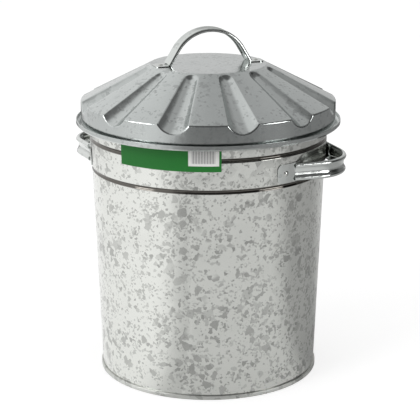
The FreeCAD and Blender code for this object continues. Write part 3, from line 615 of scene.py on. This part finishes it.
# The table near the can goes by the turn round it from the camera's side, plus to the right;
# beyond that by metres to the can's right. Lifts are added to its level.
TABLE_SIZE = 12
TABLE_NEAR_LEFT = (-50.0, -14.0, 0.57, 0.21)
TABLE_NEAR_RIGHT = (56.0, 86.0)
TABLE_NEAR_RIGHT_END = (115.0, 150.0, 1.0, 0.3)
TABLE_NEAR_RIGHT_LIFT = -0.17
TABLE_DARK_STRETCH, TABLE_DARK_LIFT = (-31.0, -15.5, 0.4), -0.07
TABLE_LIGHT_LINE, TABLE_LIGHT_LIFT = (-15.5, -14.0, 0.3), 0.12
TABLE_NEAR_TO_FAR = (1.0, 1.16)
TABLE_FAR_LEFT, TABLE_FAR_LEFT_LEVEL = (-0.95, -0.5), 0.38
TABLE_FAR_RIGHT, TABLE_FAR_RIGHT_LEVEL = (0.7, 1.1), 0.08
TABLE_GLOW = 0.6
TABLE_PAINT = (0.5, 0.5, 0.5, 1)
TABLE_PAINT_DARK = (0.22, 0.22, 0.22, 1)
TABLE_NEAR_RIGHT_DARK = 0.4

# The studio goes by how far a direction points up, back, right, or to the front of the ceiling
# or a soft box, from -1 to 1.
CEILING = (0.3, 0.62)
CEILING_FRONT_UP, CEILING_FRONT_FORWARD = 0.62, 0.79
CEILING_TO_FRONT = (0.6, 0.9, 1.0, 0.12)
CEILING_TO_RIGHT = (-0.35, 0.05, 0.82, 0.46)
DIMMEST = 0.08
BACK_WALL = (0.1, 0.6)
BACK_WALL_TO_RIGHT = (-0.4, 0.25, 0.95, 0.6)
LEFT_PANEL = (-0.75, -0.25, 1.0, 0.0)
RIGHT_SIDE = (0.35, 0.7, 1.0, 0.3)
SOFT_BOX_ASIDE, SOFT_BOX_FORWARD = 0.89, 0.45
SOFT_BOX_FACE = (0.3, 0.4)
SOFT_BOX_HEIGHT = (-0.05, 0.33, 0.03)
SOFT_BOX_WIDTH = (-0.18, 0.18, 0.03)
SOFT_BOX_LEVEL = 6.0
MATT_LIGHT = (0.75, 0.75, 0.75, 1)
WHITE = (1, 1, 1, 1)

CAN_MIDDLE = Vector((0, 0, 0.2))


def make_stage():
    """White table that keeps the can's shadow and shows metal light and dark stretches."""
    nothing_selected()
    bpy.ops.mesh.primitive_plane_add(size=TABLE_SIZE)
    table = bpy.context.object
    table.name = "table"
    material = bpy.data.materials.new("table_white")
    tree = bare_tree(material)
    place = add(tree, "ShaderNodeTexCoord").outputs["Object"]
    rays = add(tree, "ShaderNodeLightPath").outputs
    across = vector_maths(tree, "DOT_PRODUCT", place, tuple(TO_RIGHT))
    behind = vector_maths(tree, "DOT_PRODUCT", place, tuple(TO_BACK))
    far = ramp(tree, vector_maths(tree, "LENGTH", place), *TABLE_NEAR_TO_FAR)
    turn = maths(tree, "ARCTAN2", across, maths(tree, "MULTIPLY", behind, -1.0))
    turn = maths(tree, "MULTIPLY", turn, 180 / math.pi)

    right = maths(tree, "MULTIPLY", ramp(tree, turn, *TABLE_NEAR_RIGHT),
                  ramp(tree, turn, *TABLE_NEAR_RIGHT_END))
    near = ramp(tree, turn, *TABLE_NEAR_LEFT)
    for stretch, lift in ((right, TABLE_NEAR_RIGHT_LIFT),
                          (band(tree, turn, *TABLE_DARK_STRETCH), TABLE_DARK_LIFT),
                          (band(tree, turn, *TABLE_LIGHT_LINE), TABLE_LIGHT_LIFT)):
        near = maths(tree, "MULTIPLY_ADD", stretch, lift, near)
    beyond = maths(tree, "ADD", ramp(tree, across, *TABLE_FAR_LEFT, TABLE_FAR_LEFT_LEVEL, 0.0),
                   ramp(tree, across, *TABLE_FAR_RIGHT, 0.0, TABLE_FAR_RIGHT_LEVEL))
    mirrored = add(tree, "ShaderNodeMix", i0=far, i2=near, i3=beyond).outputs[0]
    glow = maths(tree, "MULTIPLY", rays["Is Camera Ray"], TABLE_GLOW)
    shine = maths(tree, "MULTIPLY", rays["Is Glossy Ray"], mirrored)
    light = add(tree, "ShaderNodeEmission", i1=maths(tree, "ADD", glow, shine)).outputs[0]

    dark = maths(tree, "MULTIPLY", far, ramp(tree, across, *TABLE_FAR_LEFT))
    dark = maths(tree, "MAXIMUM", dark, maths(tree, "MULTIPLY", right, TABLE_NEAR_RIGHT_DARK))
    dark = maths(tree, "MULTIPLY", dark, rays["Is Glossy Ray"])
    paint = add(tree, "ShaderNodeBsdfDiffuse",
                i0=mixed(tree, dark, TABLE_PAINT, TABLE_PAINT_DARK)).outputs[0]
    both = add(tree, "ShaderNodeAddShader", i0=light, i1=paint).outputs[0]
    add(tree, "ShaderNodeOutputMaterial", i0=both)
    table.data.materials.append(material)


def make_world():
    """White room for the camera, even light for matt faces, and a studio for metal to mirror.

    The studio has a ceiling that darkens to the front and the right, a back wall, a light panel
    at the left, a dim right side, and a tall soft box at each side in front.
    """
    world = bpy.data.worlds.new("studio")
    bpy.context.scene.world = world
    tree = bare_tree(world)
    way = add(tree, "ShaderNodeTexCoord").outputs["Generated"]
    rays = add(tree, "ShaderNodeLightPath").outputs

    def along(direction):
        return vector_maths(tree, "DOT_PRODUCT", way, tuple(direction))

    up, back, right = along(STRAIGHT_UP), along(TO_BACK), along(TO_RIGHT)
    front = (STRAIGHT_UP * CEILING_FRONT_UP - TO_BACK * CEILING_FRONT_FORWARD).normalized()
    overhead = maths(tree, "MULTIPLY", ramp(tree, along(front), *CEILING_TO_FRONT),
                     ramp(tree, right, *CEILING_TO_RIGHT))
    ceiling = maths(tree, "MULTIPLY_ADD", ramp(tree, up, *CEILING), overhead, DIMMEST)
    back_wall = maths(tree, "MULTIPLY", ramp(tree, back, *BACK_WALL),
                      ramp(tree, right, *BACK_WALL_TO_RIGHT))
    left_panel = ramp(tree, right, *LEFT_PANEL)
    mirrored = maths(tree, "MAXIMUM", ceiling, maths(tree, "MAXIMUM", back_wall, left_panel))
    mirrored = maths(tree, "MULTIPLY", mirrored, ramp(tree, right, *RIGHT_SIDE))
    for side in (-1, 1):
        aim = (TO_RIGHT * side * SOFT_BOX_ASIDE - TO_BACK * SOFT_BOX_FORWARD).normalized()
        box = maths(tree, "MULTIPLY", ramp(tree, along(aim), *SOFT_BOX_FACE),
                    band(tree, up, *SOFT_BOX_HEIGHT))
        width = band(tree, along(aim.cross(STRAIGHT_UP)), *SOFT_BOX_WIDTH)
        box = maths(tree, "MULTIPLY", box, width)
        mirrored = maths(tree, "MULTIPLY_ADD", box, SOFT_BOX_LEVEL, mirrored)
    level = mixed(tree, rays["Is Diffuse Ray"], mirrored, MATT_LIGHT)
    level = mixed(tree, rays["Is Camera Ray"], level, WHITE)
    shader = add(tree, "ShaderNodeBackground", i0=level, i1=1.0)
    add(tree, "ShaderNodeOutputWorld", i0=shader.outputs[0])


def soft_lamp(name, right, back, up, size, power):
    """A square lamp, placed in metres from the can and aimed at it, that metal doesn't mirror."""
    lamp = bpy.data.objects.new(name, bpy.data.lights.new(name, "AREA"))
    bpy.context.scene.collection.objects.link(lamp)
    lamp.data.shape = "SQUARE"
    lamp.data.size = size
    lamp.data.energy = power
    lamp.visible_glossy = False
    lamp.location = TO_RIGHT * right + TO_BACK * back + STRAIGHT_UP * up
    aim = CAN_MIDDLE - lamp.location
    lamp.rotation_euler = aim.to_track_quat("-Z", "Y").to_euler()


make_stage()
make_world()
soft_lamp("key_lamp", right=-1.5, back=-1.6, up=2.0, size=0.7, power=14)
soft_lamp("fill_lamp", right=1.3, back=-1.7, up=1.9, size=0.5, power=6)
